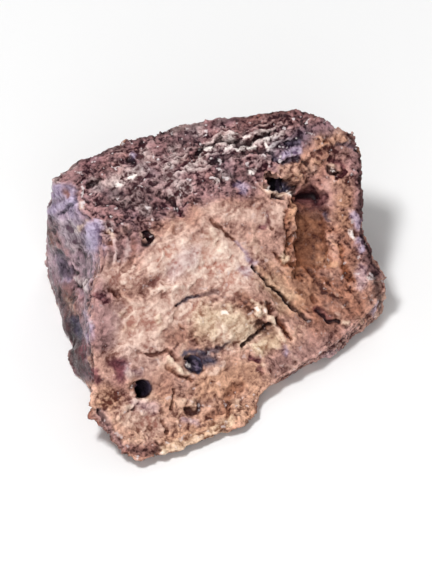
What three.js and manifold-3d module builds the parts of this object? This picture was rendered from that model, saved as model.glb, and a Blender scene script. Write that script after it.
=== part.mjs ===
// A dried lung treat: one cube cut from air-dried lung, shrunk and warped as it dried into a wedge.
// Its long sloping face looks up and to the front, a darker crown runs along the back, and the
// underside is flattened where it rests. Millimetres, +Z up, origin under the middle of the piece.
import * as THREE from "three";
import { ImprovedNoise } from "three/addons/math/ImprovedNoise.js";
import { mergeVertices } from "three/addons/utils/BufferGeometryUtils.js";
import Module from "manifold-3d";

// Driving dimensions in millimetres
const WIDTH = 35.0; // left corner to right corner
const DEPTH = 33.6; // front corner to the bulge of the back
const HEIGHT = 17.0; // resting face to the top of the crown

// Fineness of the surface
const TOP_STEPS = 34;
const WALL_STEPS = 14;
const SOFTEN_PASSES = 2; // rounds the cut edges over by about one step each
const SOFTEN_SHARE = 0.5;

// Upper faces, as heights in shares of HEIGHT over places in shares of WIDTH and DEPTH
const FRONT_CORNER = { place: [0.267, 0.0], height: 0.03 };
const RIGHT_CORNER = { place: [1.0, 0.588], height: 0.24 };
const BROW = { place: [0.491, 0.704], height: 0.856 }; // where the slope turns into the crown
const LEFT_CORNER = { place: [0.0, 0.765], height: 0.865 };
const BACK_BULGE = { place: [0.687, 1.0], height: 0.99 };
const BROW_ROUNDING = 1.6; // mm over which the slope rolls into the crown
const LIP_THICKNESS = 1.3; // mm, the thinnest that the front edge gets
const FOOT_LIFT = 0.45; // mm, how far the outline of the underside curls up

// Outlines seen from above, corner to corner: the rim of the upper faces and the foot below it
const RIM = {
  front: [[0.267, 0.0], [0.335, 0.03], [0.455, 0.078], [0.52, 0.12], [0.585, 0.155], [0.622, 0.26],
    [0.71, 0.325], [0.815, 0.412], [0.93, 0.525], [1.0, 0.588]],
  right: [[1.0, 0.588], [0.955, 0.665], [0.935, 0.81], [0.93, 0.91], [0.91, 0.968]],
  back: [[0.91, 0.968], [0.868, 0.957], [0.822, 0.972], [0.687, 1.0], [0.563, 0.976], [0.33, 0.933],
    [0.098, 0.826], [0.0, 0.765]],
  left: [[0.0, 0.765], [0.085, 0.665], [0.176, 0.57], [0.138, 0.4], [0.135, 0.271], [0.144, 0.19],
    [0.13, 0.11], [0.187, 0.055], [0.267, 0.0]],
};
const FOOT = {
  front: [[0.28, 0.045], [0.335, 0.05], [0.455, 0.1], [0.53, 0.15], [0.575, 0.19], [0.61, 0.28],
    [0.7, 0.335], [0.805, 0.415], [0.925, 0.53], [0.985, 0.6]],
  right: [[0.985, 0.6], [0.95, 0.71], [0.935, 0.85], [0.87, 0.965]],
  back: [[0.87, 0.965], [0.67, 0.985], [0.33, 0.92], [0.11, 0.845], [0.005, 0.8]],
  left: [[0.005, 0.8], [0.024, 0.65], [0.06, 0.48], [0.084, 0.37], [0.14, 0.29], [0.185, 0.23],
    [0.215, 0.16], [0.28, 0.045]],
};
const WAIST = { front: 0.1, right: 1.0, back: 1.2, left: 0.2 }; // mm that each wall is drawn in by drying

// Furrows that run up the walls, leaning as they rise: place and width in shares of the side, depth in mm
const WALL_FURROWS = [
  { side: "back", along: 0.17, lean: 0.12, width: 0.05, depth: 0.9 },
  { side: "back", along: 0.52, lean: -0.2, width: 0.06, depth: 1.1 },
  { side: "back", along: 0.86, lean: 0.1, width: 0.04, depth: 0.7 },
  { side: "right", along: 0.3, lean: 0.3, width: 0.1, depth: 0.8 },
  { side: "right", along: 0.78, lean: -0.1, width: 0.08, depth: 0.6 },
  { side: "left", along: 0.2, lean: -0.15, width: 0.06, depth: 0.6 },
  { side: "left", along: 0.46, lean: 0.1, width: 0.05, depth: 0.5 },
  { side: "front", along: 0.7, lean: 0.1, width: 0.03, depth: 0.4 },
];

// Shallow relief of the upper faces: lines of places, with width and depth in mm. Depth below 0 stands proud
const CREASES = [
  { name: "opened airway", line: [[0.776, 0.8], [0.784, 0.681], [0.776, 0.56]], width: 2.1, depth: 1.2 },
  { name: "long crack", line: [[0.491, 0.643], [0.572, 0.604], [0.67, 0.518], [0.776, 0.466],
    [0.875, 0.473]], width: 1.3, depth: 0.45 },
  { name: "fold ridge", line: [[0.598, 0.475], [0.661, 0.439], [0.715, 0.4]], width: 1.3, depth: -0.75 },
  { name: "fold valley", line: [[0.572, 0.357], [0.63, 0.395], [0.675, 0.385]], width: 1.2, depth: 0.5 },
  { name: "short crack", line: [[0.384, 0.415], [0.401, 0.428], [0.445, 0.451]], width: 1.2, depth: 0.3 },
  { name: "crown furrow", line: [[0.4, 0.835], [0.55, 0.885], [0.7, 0.925]], width: 1.3, depth: 0.5 },
  { name: "brow furrow", line: [[0.2, 0.6], [0.36, 0.66], [0.5, 0.76], [0.64, 0.82]],
    width: 1.3, depth: 0.3 },
  { name: "shoulder fold", line: [[0.19, 0.5], [0.2, 0.38], [0.2, 0.26]], width: 1.3, depth: 0.4 },
  { name: "lip fold", line: [[0.36, 0.15], [0.46, 0.2], [0.56, 0.26]], width: 1.3, depth: 0.4 },
];

// Mouths of the airways: place, radius, depth and stretch across, in mm
const TOP_AIRWAYS = [
  { place: [0.281, 0.187], radius: 1.05, depth: 3.2, stretch: 1.0 },
  { place: [0.437, 0.284], radius: 0.95, depth: 1.6, stretch: 1.5 },
  { place: [0.678, 0.774], radius: 0.85, depth: 2.2, stretch: 2.0 },
  { place: [0.294, 0.569], radius: 0.55, depth: 1.4, stretch: 1.3 },
  { place: [0.86, 0.84], radius: 0.6, depth: 1.3, stretch: 1.2 },
];
const WALL_AIRWAYS = [
  { side: "back", along: 0.36, up: 0.55, radius: 1.6, depth: 4.0, stretch: 1.05 },
  { side: "back", along: 0.7, up: 0.36, radius: 0.8, depth: 2.4, stretch: 1.3 },
  { side: "right", along: 0.6, up: 0.45, radius: 1.1, depth: 2.6, stretch: 1.2 },
  { side: "left", along: 0.33, up: 0.42, radius: 0.6, depth: 1.6, stretch: 1.4 },
];

// Uneven relief over everything: size of the lumps and how far they stand out, in mm
const LUMPS = [
  { size: 9, height: 0.55, seed: 3.1 },
  { size: 4.2, height: 0.4, seed: 17.7 },
  { size: 2.1, height: 0.2, seed: 41.3 },
];
const UNDERSIDE = { size: 6, height: 0.9, flat: 0.14, seed: 63.9 }; // flat: the share of its height left out

const TREAT_BROWN = 0xa67f74;

const noise = new ImprovedNoise();
const onPlan = ([across, deep]) => new THREE.Vector2(across * WIDTH, deep * DEPTH);

// A smaller-of-two that rounds the edge where they meet.
function softMin(a, b, rounding) {
  const h = Math.max(rounding - Math.abs(a - b), 0) / rounding;
  return Math.min(a, b) - (h * h * rounding) / 4;
}

// The height, over any place, of the plane through three named places.
function planeThrough(...marks) {
  const points = marks.map(({ place, height }) => {
    const plan = onPlan(place);
    return new THREE.Vector3(plan.x, plan.y, height * HEIGHT);
  });
  const plane = new THREE.Plane().setFromCoplanarPoints(...points);
  return (x, y) => -(plane.constant + plane.normal.x * x + plane.normal.y * y) / plane.normal.z;
}

const slope = planeThrough(FRONT_CORNER, RIGHT_CORNER, BROW);
const crown = planeThrough(LEFT_CORNER, BACK_BULGE, BROW);
const topHeight = (x, y) =>
  -softMin(-softMin(slope(x, y), crown(x, y), BROW_ROUNDING), -LIP_THICKNESS, LIP_THICKNESS);

// One smooth curve for each side of an outline, run from corner to corner.
function sideCurves(outline) {
  return Object.fromEntries(
    Object.entries(outline).map(([side, places]) => {
      const points = places.map((place) => new THREE.Vector3(...onPlan(place).toArray(), 0));
      return [side, new THREE.CatmullRomCurve3(points, false, "centripetal")];
    }),
  );
}
const rimCurves = sideCurves(RIM);
const footCurves = sideCurves(FOOT);
const MIDDLE = onPlan([0.5, 0.56]);

// Which side a unit square's edge point lies on, and how far along it from corner to corner.
function sideOf(u, v) {
  if (v <= -Math.abs(u)) return ["front", (u / -v + 1) / 2];
  if (u >= Math.abs(v)) return ["right", (v / u + 1) / 2];
  if (v >= Math.abs(u)) return ["back", (1 - u / v) / 2];
  return ["left", (1 - v / -u) / 2];
}

// How far a wall is drawn in at a place on it, by its waist and its furrows.
function wallInset(side, along, up) {
  const fade = Math.sin(Math.PI * up);
  let inset = WAIST[side] * fade * Math.sin(Math.PI * along);
  for (const furrow of WALL_FURROWS) {
    if (furrow.side !== side) continue;
    const away = (along - furrow.along - furrow.lean * (up - 0.5)) / furrow.width;
    inset += furrow.depth * Math.sqrt(Math.max(fade, 0)) * Math.exp(-away * away);
  }
  return inset;
}

// A point of a wall: along its side from corner to corner, and up from the foot to the rim.
function wallPoint(side, along, up) {
  const foot = footCurves[side].getPointAt(along);
  const rim = rimCurves[side].getPointAt(along);
  const point = foot.clone().lerp(rim, up);
  const inward = new THREE.Vector3(MIDDLE.x - point.x, MIDDLE.y - point.y, 0).normalize();
  point.addScaledVector(inward, wallInset(side, along, up));
  return point.setZ(THREE.MathUtils.lerp(FOOT_LIFT, topHeight(rim.x, rim.y), up));
}

// The place that a point of the unit box takes on the treat.
function formPoint(box) {
  const spread = Math.max(Math.abs(box.x), Math.abs(box.y));
  const [side, along] = spread > 0 ? sideOf(box.x / spread, box.y / spread) : ["front", 0];
  if (spread > 1 - 1e-6) return wallPoint(side, along, (box.z + 1) / 2);
  const edge = (box.z > 0 ? rimCurves : footCurves)[side].getPointAt(along);
  const x = MIDDLE.x + (edge.x - MIDDLE.x) * spread;
  const y = MIDDLE.y + (edge.y - MIDDLE.y) * spread;
  return new THREE.Vector3(x, y, box.z > 0 ? topHeight(x, y) : 0);
}

// Moves each vertex part of the way to the middle of its neighbours, which rounds the cut edges.
function soften(geometry, passes) {
  const position = geometry.getAttribute("position");
  const index = geometry.index.array;
  const neighbours = Array.from({ length: position.count }, () => new Set());
  for (let i = 0; i < index.length; i += 3)
    for (let k = 0; k < 3; k++) {
      neighbours[index[i + k]].add(index[i + ((k + 1) % 3)]);
      neighbours[index[i + k]].add(index[i + ((k + 2) % 3)]);
    }
  for (let pass = 0; pass < passes; pass++) {
    const before = position.clone();
    for (let i = 0; i < position.count; i++) {
      const middle = new THREE.Vector3();
      for (const n of neighbours[i]) middle.add(new THREE.Vector3().fromBufferAttribute(before, n));
      middle.divideScalar(neighbours[i].size);
      const point = new THREE.Vector3().fromBufferAttribute(before, i).lerp(middle, SOFTEN_SHARE);
      position.setXYZ(i, point.x, point.y, point.z);
    }
  }
}

// Cuts each four-sided cell of the box's grid along its shorter diagonal, which keeps slanted cells smooth.
function shortenDiagonals(geometry) {
  const CELL = 6; // corner numbers in a cell's two triangles: a b d, b c d
  const position = geometry.getAttribute("position");
  const index = geometry.index.array;
  const at = (i) => new THREE.Vector3().fromBufferAttribute(position, i);
  for (let i = 0; i < index.length; i += CELL) {
    const [a, b, d, , c] = index.slice(i, i + CELL);
    if (at(a).distanceTo(at(c)) < at(b).distanceTo(at(d))) index.set([a, b, c, a, c, d], i);
  }
}

// Distance in plan from a point to a line of places.
function distanceToLine(x, y, line) {
  let nearest = Infinity;
  for (let i = 1; i < line.length; i++) {
    const a = onPlan(line[i - 1]);
    const span = onPlan(line[i]).sub(a);
    const t = THREE.MathUtils.clamp(((x - a.x) * span.x + (y - a.y) * span.y) / span.lengthSq(), 0, 1);
    nearest = Math.min(nearest, Math.hypot(x - a.x - span.x * t, y - a.y - span.y * t));
  }
  return nearest;
}

// How far the surface stands out at a point: lumps everywhere, creases on the upper faces.
function relief(point, facingUp) {
  let out = 0;
  for (const { size, height, seed } of LUMPS)
    out += height * noise.noise(point.x / size + seed, point.y / size, point.z / size);
  for (const { line, width, depth } of CREASES) {
    const away = distanceToLine(point.x, point.y, line) / width;
    out -= depth * facingUp * Math.exp(-away * away);
  }
  return out;
}

// The whole treat before its airways are cut: the unit box in its form, softened and made uneven.
function bodyGeometry() {
  const box = new THREE.BoxGeometry(2, 2, 2, TOP_STEPS, TOP_STEPS, WALL_STEPS);
  box.deleteAttribute("normal");
  box.deleteAttribute("uv");
  const geometry = mergeVertices(box);
  const position = geometry.getAttribute("position");
  const point = new THREE.Vector3();
  const underside = new Array(position.count).fill(false);
  for (let i = 0; i < position.count; i++) {
    point.fromBufferAttribute(position, i);
    underside[i] = point.z < -1 + 1e-6 && Math.max(Math.abs(point.x), Math.abs(point.y)) < 1 - 1e-6;
    position.setXYZ(i, ...formPoint(point).toArray());
  }
  soften(geometry, SOFTEN_PASSES);
  shortenDiagonals(geometry);
  geometry.computeVertexNormals();
  const normal = geometry.getAttribute("normal");
  const out = new THREE.Vector3();
  for (let i = 0; i < position.count; i++) {
    point.fromBufferAttribute(position, i);
    out.fromBufferAttribute(normal, i);
    if (underside[i]) {
      const { size, height, flat, seed } = UNDERSIDE;
      const hollow = noise.noise(point.x / size + seed, point.y / size, 0) - flat;
      position.setZ(i, Math.max(0, height * hollow));
      continue;
    }
    point.addScaledVector(out, relief(point, THREE.MathUtils.smoothstep(out.z, 0.2, 0.6)));
    position.setXYZ(i, point.x, point.y, Math.max(point.z, 0));
  }
  geometry.deleteAttribute("normal");
  return geometry;
}

// A tapered plug with a round end, lying along an outward direction, that cuts the mouth of one airway.
function airwayPlug(mouth, outward, { radius, depth, stretch }) {
  const SIDES = 11;
  const ABOVE = 2; // mm that the plug reaches out of the surface
  const profile = [
    [0, -depth],
    [0.5, -0.92 * depth],
    [0.82, -0.55 * depth],
    [1, -0.3],
    [1.2, ABOVE],
    [0, ABOVE],
  ];
  const points = profile.map(([share, along]) => new THREE.Vector2(share * radius, along));
  const plug = new THREE.LatheGeometry(points, SIDES);
  plug.scale(stretch, 1, 1 / Math.sqrt(stretch));
  plug.applyQuaternion(new THREE.Quaternion().setFromUnitVectors(new THREE.Vector3(0, 1, 0), outward));
  return plug.translate(mouth.x, mouth.y, mouth.z);
}

function topPlug(airway) {
  const { x, y } = onPlan(airway.place);
  const STEP = 0.5;
  const tilt = (dx, dy) => (topHeight(x - dx, y - dy) - topHeight(x + dx, y + dy)) / (2 * STEP);
  const outward = new THREE.Vector3(tilt(STEP, 0), tilt(0, STEP), 1).normalize();
  return airwayPlug(new THREE.Vector3(x, y, topHeight(x, y)), outward, airway);
}

function wallPlug(airway) {
  const mouth = wallPoint(airway.side, airway.along, airway.up);
  const outward = new THREE.Vector3(mouth.x - MIDDLE.x, mouth.y - MIDDLE.y, 0).normalize();
  return airwayPlug(mouth, outward, airway);
}

const wasm = await Module();
wasm.setup();

// A closed geometry as a solid that can be cut.
function solidFrom(geometry) {
  const bare = geometry.clone();
  for (const name of ["normal", "uv"]) bare.deleteAttribute(name);
  const merged = mergeVertices(bare, 1e-4);
  return new wasm.Manifold(
    new wasm.Mesh({
      numProp: 3,
      vertProperties: merged.getAttribute("position").array,
      triVerts: new Uint32Array(merged.index.array),
    }),
  );
}

function geometryFrom(solid) {
  const { vertProperties, triVerts, numProp } = solid.getMesh();
  const positions = new Float32Array((vertProperties.length / numProp) * 3);
  for (let i = 0; i < positions.length / 3; i++)
    for (let k = 0; k < 3; k++) positions[3 * i + k] = vertProperties[numProp * i + k];
  const geometry = new THREE.BufferGeometry();
  geometry.setAttribute("position", new THREE.BufferAttribute(positions, 3));
  geometry.setIndex(new THREE.BufferAttribute(new Uint32Array(triVerts), 1));
  return geometry;
}

// The treat with its airways open, brought to its size with the origin under the middle of its box.
function treatGeometry() {
  let solid = solidFrom(bodyGeometry());
  for (const plug of [...TOP_AIRWAYS.map(topPlug), ...WALL_AIRWAYS.map(wallPlug)])
    solid = solid.subtract(solidFrom(plug));
  const geometry = geometryFrom(solid);
  geometry.computeBoundingBox();
  const { min, max } = geometry.boundingBox;
  geometry.translate(-(min.x + max.x) / 2, -(min.y + max.y) / 2, -min.z);
  geometry.scale(WIDTH / (max.x - min.x), DEPTH / (max.y - min.y), HEIGHT / (max.z - min.z));
  geometry.computeVertexNormals();
  return geometry;
}

const material = new THREE.MeshStandardMaterial({ color: TREAT_BROWN, roughness: 0.6, metalness: 0 });
const treat = new THREE.Mesh(treatGeometry(), material);
treat.name = "dried_lung_treat";

const group = new THREE.Group();
group.add(treat);
export default group;
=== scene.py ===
"""One cube of air-dried lung: crumbly cut faces, a dark porous crown, a skin side, airways and cracks.

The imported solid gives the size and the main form. This add-on remeshes it finely, works the relief of
dried tissue into the mesh and colours it by region, on a plain pale stage.
"""

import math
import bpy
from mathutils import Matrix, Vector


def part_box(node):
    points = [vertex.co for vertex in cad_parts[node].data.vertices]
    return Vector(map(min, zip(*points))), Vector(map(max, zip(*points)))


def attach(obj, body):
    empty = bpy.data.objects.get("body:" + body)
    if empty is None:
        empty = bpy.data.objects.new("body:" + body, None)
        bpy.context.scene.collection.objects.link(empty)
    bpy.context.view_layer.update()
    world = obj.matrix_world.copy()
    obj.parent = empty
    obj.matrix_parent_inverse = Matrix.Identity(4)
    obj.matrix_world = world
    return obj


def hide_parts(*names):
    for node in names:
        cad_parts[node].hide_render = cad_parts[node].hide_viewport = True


bl_info = {
    "name": "Dried Lung Treat",
    "version": (1, 0, 0),
    "blender": (4, 5, 0),
    "location": "View3D > Sidebar > Treat",
    "description": "Builds one piece of air-dried lung over its packed solid, with its finish and stage",
    "category": "Object",
}

import bpy
import numpy as np
from bpy.props import FloatProperty, FloatVectorProperty, IntProperty, PointerProperty
from bpy.types import Operator, Panel, PropertyGroup
from mathutils import Matrix, Vector, noise
from mathutils.kdtree import KDTree

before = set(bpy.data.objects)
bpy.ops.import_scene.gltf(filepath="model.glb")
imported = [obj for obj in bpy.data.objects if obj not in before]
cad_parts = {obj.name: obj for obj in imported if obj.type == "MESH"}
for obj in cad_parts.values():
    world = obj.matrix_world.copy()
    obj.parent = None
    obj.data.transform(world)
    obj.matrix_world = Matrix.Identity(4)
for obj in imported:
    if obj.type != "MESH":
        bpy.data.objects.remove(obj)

NODE = "dried_lung_treat"
PIECE = "dried_lung"
MATERIAL = "dried_lung_tissue"

# All sizes are given in millimetres for a treat of this width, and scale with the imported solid's width
DRAWN_WIDTH = 35.0
LOW_CORNER, HIGH_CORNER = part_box(NODE)
MM = (HIGH_CORNER.x - LOW_CORNER.x) / DRAWN_WIDTH
LOW, HIGH = LOW_CORNER / MM, HIGH_CORNER / MM
MIDDLE = (LOW + HIGH) / 2
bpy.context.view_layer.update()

# Places on the faces that look up and to the front are given in millimetres from the front corner,
# across and up the slope, on a plane square to a line of sight that looks down by this angle
SIGHT_ANGLE = math.radians(50)
SIGHT = np.array((0.0, -math.cos(SIGHT_ANGLE), math.sin(SIGHT_ANGLE)))
UP_SLOPE = np.array((0.0, math.sin(SIGHT_ANGLE), math.cos(SIGHT_ANGLE)))
FRONT_CORNER_ACROSS = 0.2714  # of the width, from the left corner

# The line where the slope turns into the crown, from left to right
BROW_LINE = (
    (-3.4, 22.4), (-1.0, 23.4), (1.6, 24.0), (4.6, 24.8), (6.6, 26.2), (7.8, 27.3), (11.4, 27.0),
    (13.0, 28.4), (14.4, 29.6), (16.6, 31.8), (18.6, 32.9), (21.0, 33.8),
)

# The inner edge of the skin side, from the left corner down to the front
SKIN_EDGE = (
    (-8.8, 28.4), (-6.2, 27.4), (-5.9, 25.2), (-4.6, 24.4), (-3.5, 22.6), (-3.7, 20.8), (-4.4, 18.6),
    (-4.9, 16.8), (-4.8, 15.0), (-4.3, 13.2), (-4.9, 10.6), (-4.8, 8.2),
)


def srgb(red, green, blue):
    """A screen colour, 0 to 255, as the linear colour that shaders take."""
    shares = (channel / 255 for channel in (red, green, blue))
    return tuple(s / 12.92 if s <= 0.04045 else ((s + 0.055) / 1.055) ** 2.4 for s in shares)


def size(name, description, default, low=0.0, high=50.0):
    """A length in millimetres that a user can change."""
    return FloatProperty(name=name, description=f"{description}, in mm", default=default, min=low, max=high)


def colour(name, description, default):
    """A colour that a user can change."""
    return FloatVectorProperty(
        name=name, description=description, default=default, subtype="COLOR", size=3, min=0, max=1
    )


class TreatSizes(PropertyGroup):
    """Sizes of the relief, in millimetres."""

    fineness: size("Fineness", "Spacing of the mesh's points before it is thinned", 0.13, 0.08, 1.0)
    lump_height: size("Lump height", "How far the soft unevenness stands out", 0.3)
    lobule_size: size("Lobule size", "Width of the fields that the thin white walls divide", 4.5, 1.0, 20.0)
    lobule_height: size("Lobule height", "How far the thin white walls stand out", 0.1)
    hidden_height: size("Hidden relief", "How much further the lobules of the unseen sides stand out", 0.5)
    grain_size: size("Grain size", "Width of one crumb of the crust", 0.9, 0.2, 5.0)
    grain_height: size("Grain height", "How far the crumbs of the crown stand out", 0.42)
    pore_size: size("Pore size", "Spacing of the open pores of the crust", 0.8, 0.2, 5.0)
    pore_depth: size("Pore depth", "Depth of the open pores of the crown", 0.45)
    streak_height: size("Streak height", "How far the white streaks of the crown's crest stand out", 0.5)
    strand_height: size("Strand height", "How far the fine strands of the slope stand out", 0.16)
    wrinkle_height: size("Wrinkle height", "How far the wrinkles of the skin side stand out", 0.22)
    spike_height: size("Spike height", "How far a single point may stand out", 0.16)
    face_count: IntProperty(
        name="Faces", description="Triangles of the finished mesh", default=190000, min=10000, max=199000
    )


# Tissues as (name, label, what they cover, colour of their hollows, colour of their crests). The relief
# mixes the two, so the hollow colour is partly painted shade and the crest colour partly painted light
TISSUES = (
    ("flesh", "Flesh", "the long face", (92, 52, 46), (236, 186, 168)),
    ("pink", "Pale flesh", "the palest flesh", (184, 128, 112), (255, 234, 218)),
    ("tan", "Dried edge", "the tan corner and lip", (90, 44, 30), (240, 186, 150)),
    ("cream", "Gristle", "the pale folds", (150, 104, 80), (252, 228, 204)),
    # Also painted as highlights: on the glints, the crown's streak crests and small bright spots
    ("blanch", "Bleached crust", "the bleached crust", (98, 62, 62), (255, 244, 238)),
    ("ochre", "Fatty tissue", "the yellowish bulge", (166, 120, 90), (255, 238, 208)),
    ("brown", "Brown tissue", "the browner tissue", (54, 18, 10), (180, 110, 76)),
    ("rust", "Rust line", "the deep orange-brown lines", (56, 18, 8), (140, 72, 40)),
    ("crown", "Crown", "the dark porous crown", (46, 9, 22), (192, 146, 146)),
    ("wine", "Blood stain", "the wine-red stains", (62, 14, 30), (142, 74, 86)),
    ("slate", "Slate", "the bluish tissue in the airways", (18, 12, 30), (94, 90, 114)),
    ("skin", "Skin side", "the skin side", (42, 20, 32), (196, 162, 174)),
    # The pale membranes, with the bluish sheen they show painted into their colour
    ("lavender", "Membrane", "the pale membranes", (100, 78, 110), (214, 198, 224)),
    # Also painted as shade into the mouths, deep hollows and pits
    ("pore", "Pore", "the airways and cracks", (18, 4, 10), (58, 24, 28)),
)


class TreatColours(PropertyGroup):
    """Dark and light colour of each tissue."""

    __annotations__ = {
        f"{name}_{end}": colour(f"{label}, {end}", f"{part} of {where}", srgb(*rgb))
        for name, label, where, dark, light in TISSUES
        for end, part, rgb in (("dark", "Hollows", dark), ("light", "Crests", light))
    }


def smooth_step(low, high, values):
    """0 below low and 1 above high, with a smooth rise between."""
    t = np.clip((values - low) / (high - low), 0, 1)
    return t * t * (3 - 2 * t)


def fractal(points, size, seed, octaves=3):
    """Layered gradient noise at each point, about -1 to 1, with features of a size in mm."""
    shifted = points / size + (seed, -0.7 * seed, 1.3 * seed)
    return np.array([noise.fractal(point, 1.0, 2.0, octaves) for point in shifted.tolist()])


# Fall of the finer crests, their closeness, how many layers of them, offset and gain
CREST_LAYERS = (0.9, 2.1, 5, 1.0, 2.0)


def ridges(points, size, seed):
    """Branching crests with finer crests on them at each point, about 0 to 1."""
    shifted = points / size + (seed, 2.3 * seed, -0.9 * seed)
    return np.array([noise.ridged_multi_fractal(point, *CREST_LAYERS) for point in shifted.tolist()]) / 2


# Numbers that turn the place of a cell's middle into a share that looks random
SHARE_MIX, SHARE_SPREAD = (12.99, 78.23, 37.72), 437.585


def cells(points, size, seed):
    """Irregular cells at each point: 0 in a cell's middle to 1 on its wall, and the cell's own share."""
    shifted = points / size + (seed, 1.9 * seed, -0.4 * seed)
    found = [noise.voronoi(point) for point in shifted.tolist()]
    near, far = np.array([distances[:2] for distances, _ in found]).T
    middles = np.array([centres[0] for _, centres in found])
    own = np.modf(np.abs(np.sin(middles @ SHARE_MIX)) * SHARE_SPREAD)[0]
    return near / far, own


def sponge(points, size, open_share, seed):
    """Open pores between thin walls at each point: 1 on walls and closed cells, 0 on a pore's floor."""
    toward_wall, own = cells(points, size, seed)
    depth = np.sqrt(np.clip(1 - own / open_share, 0, 1))
    return 1 - depth * (1 - smooth_step(0.35, 0.95, toward_wall))


def combed(places, turn, squeeze, size, seed):
    """Noise at each place, about -1 to 1, drawn out along a direction that is given in degrees."""
    c, s = math.cos(math.radians(turn)), math.sin(math.radians(turn))
    across, up = places.T
    along = squeeze * (across * c + up * s)
    return fractal(np.stack((along, up * c - across * s, np.zeros(len(places))), axis=1), size, seed)


def distance_to_place(places, place):
    """Distance of each place from one place, in mm."""
    return np.linalg.norm(places - place, axis=1)


def around(places, spots, low, high):
    """1 near any of some spots (place, radius), fading to 0 between two distances given in radii."""
    away = [distance_to_place(places, place) / radius for place, radius in spots]
    return 1 - smooth_step(low, high, np.min(away, axis=0))


def distance_to_line(places, line):
    """Distance of each place from a line of places, in mm."""
    nearest = np.full(len(places), np.inf)
    for start, end in zip(np.array(line[:-1], float), np.array(line[1:], float)):
        span = end - start
        along = np.clip((places - start) @ span / (span @ span), 0, 1)
        nearest = np.minimum(nearest, distance_to_place(places - start, along[:, None] * span))
    return nearest


class Tissue:
    """The treat's fine mesh while it is worked: its points, their neighbours and what is known there."""

    def __init__(self, mesh):
        self.mesh = mesh
        self.count = len(mesh.vertices)
        self.points = self.read("vertices", "co")
        edges = np.zeros(len(mesh.edges) * 2, np.int32)
        mesh.edges.foreach_get("vertices", edges)
        self.first, self.second = edges.reshape(-1, 2).T
        both = np.concatenate((self.first, self.second))
        self.degree = np.maximum(np.bincount(both, minlength=self.count), 1)
        self.fields = {}

    def read(self, collection, name):
        """A value of three numbers at each point of the mesh."""
        values = np.zeros(self.count * 3, np.float32)
        getattr(self.mesh, collection).foreach_get(name, values)
        return values.reshape(-1, 3).astype(float)

    def neighbour_mean(self, values):
        """The mean of a value over each point's neighbours."""
        if values.ndim > 1:
            return np.stack([self.neighbour_mean(column) for column in values.T], axis=1)
        total = np.bincount(self.first, values[self.second], self.count)
        total += np.bincount(self.second, values[self.first], self.count)
        return total / self.degree

    def blurred(self, values, rounds):
        """A value evened out between neighbours."""
        for _ in range(rounds):
            values = 0.5 * (values + self.neighbour_mean(values))
        return values

    def settle(self):
        """Gives the mesh the points' present places."""
        self.mesh.vertices.foreach_set("co", self.points.astype(np.float32).ravel())
        self.mesh.update()

    def normals(self):
        """Each point's outward direction at its present place."""
        self.settle()
        return self.read("vertex_normals", "vector")

    def places(self):
        """Each point's place on the sloping plane that the features are given on."""
        across = self.points[:, 0] - LOW.x - FRONT_CORNER_ACROSS * (HIGH.x - LOW.x)
        up = self.points @ UP_SLOPE
        return np.stack((across, up - up.min()), axis=1)

    def wander(self, size, seed):
        """A smooth random shift of each place, as two values about -1 to 1."""
        return np.stack((fractal(self.points, size, seed), fractal(self.points, size, seed + 40)), axis=1)

    def wander_in_space(self, size, seed):
        """A smooth random shift of each point, as three values about -1 to 1."""
        seeds = (seed, seed + 16, seed + 32)
        return np.stack([fractal(self.points, size, each, 2) for each in seeds], axis=1)

    def raise_by(self, height, directions):
        """Moves each point out by a height in mm."""
        self.points += height[:, None] * directions


def linked(name, data):
    """A new object in the scene that shows a mesh, a lamp or a camera."""
    thing = bpy.data.objects.new(name, data)
    bpy.context.scene.collection.objects.link(thing)
    return thing


def taken_mesh(thing):
    """The mesh of an object as its modifiers leave it; the object itself is taken away."""
    evaluated = thing.evaluated_get(bpy.context.evaluated_depsgraph_get())
    mesh = bpy.data.meshes.new_from_object(evaluated)
    bpy.data.objects.remove(thing)
    return mesh


def fine_copy(fineness):
    """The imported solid's mesh in mm, remeshed to small even faces with the facets smoothed away."""
    source = linked("treat_source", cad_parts[NODE].data.copy())
    source.data.materials.clear()
    source.data.transform(Matrix.Scale(1 / MM, 4))
    weld = source.modifiers.new("weld", "WELD")
    weld.merge_threshold = 0.001
    remesh = source.modifiers.new("remesh", "REMESH")
    remesh.mode = "VOXEL"
    remesh.voxel_size = fineness
    smooth = source.modifiers.new("smooth", "SMOOTH")
    smooth.factor = 0.5
    smooth.iterations = 6
    return taken_mesh(source)


def ring(centre, radius, start, end):
    """Places along an arc, from one angle to another in degrees."""
    across, up = centre
    turns = np.radians(np.linspace(start, end, 9))
    return [(across + radius * math.cos(turn), up + radius * math.sin(turn)) for turn in turns]


# Middle line of the airway that was cut open lengthwise
HALF_PIPE = ((17.6, 26.6), (17.8, 23.6), (17.5, 20.6))

# Torn mouths, whose edges in the solid are rounded off, as (place, reach)
TORN_MOUTHS = (((15.2, 27.6), 2.6), ((20.2, 29.6), 1.5), ((1.1, 22.6), 1.0))

# Middle line of the knobbly corner and of the strip down from it
KNOBBLY_CORNER = ((16.4, 29.6), (21.2, 31.0), (21.6, 26.0), (22.0, 18.0))

# Middle line of the streaked crest of the crown
STREAKED_CREST = ((4.6, 30.2), (8.6, 31.8), (13.8, 33.1))

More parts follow.
